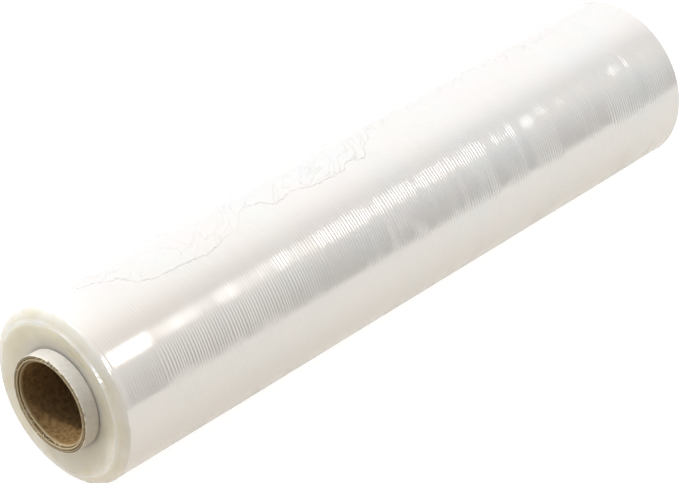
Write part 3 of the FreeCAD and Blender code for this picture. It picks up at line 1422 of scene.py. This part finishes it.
floor_material, floor_tree = new_material("white_studio_floor")
lit_floor = add_node(floor_tree, "ShaderNodeBsdfDiffuse", {"Color": linear("#D8CCB7")})
soft_floor = add_node(floor_tree, "ShaderNodeBsdfDiffuse", {"Color": linear("#A0A09E")})
floor_glow = add_node(floor_tree, "ShaderNodeEmission", {"Strength": 0.85})
pale_floor = add_node(floor_tree, "ShaderNodeAddShader", {0: soft_floor, 1: floor_glow})
floor_mix = add_node(
    floor_tree, "ShaderNodeMixShader", {0: shown_rays(floor_tree), 1: lit_floor, 2: pale_floor}
)
add_node(floor_tree, "ShaderNodeOutputMaterial", [floor_mix])
floor_mesh.materials.append(floor_material)
print("floor corners in metres", floor_corners)

# %% [markdown]
# ## Room light
#
# A photo studio for pale goods is lit from all round. The camera and every gloss see plain
# white, and what lights the roll is a sky that is brightest above and behind it, so that the
# near end and the underside stay a little darker, as in the photo.

# %% World
world = bpy.data.worlds.new("studio")
bpy.context.scene.world = world
world.use_nodes = True
world_tree = world.node_tree
world_tree.nodes.clear()
sky_spot = add_node(world_tree, "ShaderNodeTexCoord").outputs["Generated"]
BRIGHTEST_SKY = (-0.18, 0.36, 0.92)
towards_bright = add_node(
    world_tree, "ShaderNodeVectorMath", [sky_spot, BRIGHTEST_SKY], operation="DOT_PRODUCT"
)
sky_strength = add_node(
    world_tree, "ShaderNodeMapRange", [towards_bright.outputs["Value"], 0.05, 1.0, 0.05, 1.0]
)
room_light = add_node(
    world_tree, "ShaderNodeBackground", {"Color": linear("#FBFDFF"), "Strength": sky_strength}
)
white_backdrop = add_node(
    world_tree, "ShaderNodeBackground", {"Color": (1.0, 1.0, 1.0, 1.0), "Strength": 1.0}
)
world_mix = add_node(
    world_tree, "ShaderNodeMixShader", {0: shown_rays(world_tree), 1: room_light, 2: white_backdrop}
)
add_node(world_tree, "ShaderNodeOutputWorld", [world_mix])
print("studio world has", len(world_tree.nodes), "nodes")

# %% [markdown]
# ## Grey cloths
#
# A gloss shows what stands round it, and the photo's film shows soft grey bands along the
# barrel. Two cloths bent round the roll's axis stand for that studio. They are hidden from the
# camera and from diffuse rays, so it is the gloss that shows them. A strip's brightness goes
# with its angle round the roll, so each band lies where the photo has it.

# %% Grey cloths
CLOTH_RADIUS = 1.05


def hang_cloth(name, ends, tint, shades):
    """Cloth bent round the roll's axis; shades are pairs of angle (0 is up) and brightness."""
    near_x, far_x = ends
    places = []
    for angle_up, brightness in shades:
        turn_up = math.radians(angle_up)
        y = -CLOTH_RADIUS * math.sin(turn_up)
        z = axis_height * MM + CLOTH_RADIUS * math.cos(turn_up)
        places += [(near_x, y, z), (far_x, y, z)]
    faces = [(2 * n, 2 * n + 1, 2 * n + 3, 2 * n + 2) for n in range(len(shades) - 1)]
    mesh = bpy.data.meshes.new(name)
    mesh.from_pydata(places, [], faces)
    brightness_layer = mesh.attributes.new("brightness", "FLOAT", "POINT")
    brightness_layer.data.foreach_set("value", [b for _, b in shades for _ in range(2)])
    material, tree = new_material(name)
    brightness = add_node(tree, "ShaderNodeAttribute", attribute_name="brightness")
    inputs = {"Color": linear(tint), "Strength": brightness.outputs["Fac"]}
    glow = add_node(tree, "ShaderNodeEmission", inputs)
    add_node(tree, "ShaderNodeOutputMaterial", [glow])
    mesh.materials.append(material)
    cloth = add_object(name, mesh)
    cloth.visible_camera = False
    cloth.visible_diffuse = False
    print(name, len(faces), "strips")


PALE_SHADES = [
    (-14, 1.0), (-4, 0.98), (2, 0.91), (8, 0.80), (15, 0.72), (24, 0.72), (32, 0.84), (50, 0.86)
]
DARK_SHADES = [(50, 0.82), (58, 0.72), (66, 0.66), (75, 0.60), (90, 0.56), (100, 0.58)]
hang_cloth("pale_grey_cloth", (-0.3, 2.4), "#FFFBF9", PALE_SHADES)
hang_cloth("blue_grey_cloth", (0.38, 1.45), "#F4FAFF", DARK_SHADES)

# %% [markdown]
# ## Lamps
#
# Two wide panels, one overhead and one in front, give the soft light. The key lamp's mirror
# image is the white streak along the barrel, which the ribs spread and break up. The glint
# lamp's is the bright line on the near shoulder and ridge. The end lamp lights the end face,
# and a snooted lamp, which has a tube over it, sends a narrow beam into the bore.

# %% Lamps
# Name, spot and aim in metres, width and height, radiance, tint, and rays that don't see it
PANELS = [
    ("overhead_panel", (0.42, 0.7, 1.6), (0, 0, 0.05), (2.4, 2.2), 1.04, "#F9FBFF", "glossy"),
    ("front_panel", (0.35, -0.80, 1.10), (0, 0, 0.05), (1.2, 1.2), 1.40, "#FFF8F0", "glossy"),
    ("key_lamp", (0.41, -0.60, 0.84), (-0.2, 0, 0.08), (0.28, 0.28), 2.4, "#FFFDFA", "camera"),
    ("end_lamp", (-0.52, 0.24, 0.76), (-0.25, 0, 0.05), (0.18, 0.18), 7.0, "#FFFFFF", "camera"),
    ("glint_lamp", (-1.02, -0.86, 0.98), (-0.25, 0, 0.05), (0.3, 0.5), 16.0, "#FFFFFF", "diffuse"),
]


def hang_lamp(name, kind, spot, aim, energy):
    """Lamp of a kind at a spot in metres, facing an aim. The camera doesn't see it."""
    data = bpy.data.lights.new(name, kind)
    data.energy = energy
    lamp = add_object(name, data)
    lamp.location = spot
    lamp.rotation_euler = (Vector(spot) - Vector(aim)).to_track_quat("Z", "Y").to_euler()
    lamp.visible_camera = False
    return lamp


for name, spot_m, aim, (width, height), radiance, tint, unseen_by in PANELS:
    lamp = hang_lamp(name, "AREA", spot_m, aim, radiance * math.pi * width * height)
    lamp.data.shape = "RECTANGLE"
    lamp.data.size = width
    lamp.data.size_y = height
    lamp.data.color = linear(tint)[:3]
    setattr(lamp, f"visible_{unseen_by}", False)
    print(name, round(lamp.data.energy, 2), "W")

snoot = hang_lamp("snooted_lamp", "SPOT", (-0.50, 0.24, 0.72), (-0.26, -0.004, 0.045), 13.0)
snoot.data.spot_size = math.radians(8)
snoot.data.spot_blend = 1.0
snoot.data.shadow_soft_size = 0.03

# %% [markdown]
# ## Finish
#
# The view transform stays plain.

# %% Finish
bpy.context.scene.view_settings.view_transform = "Standard"
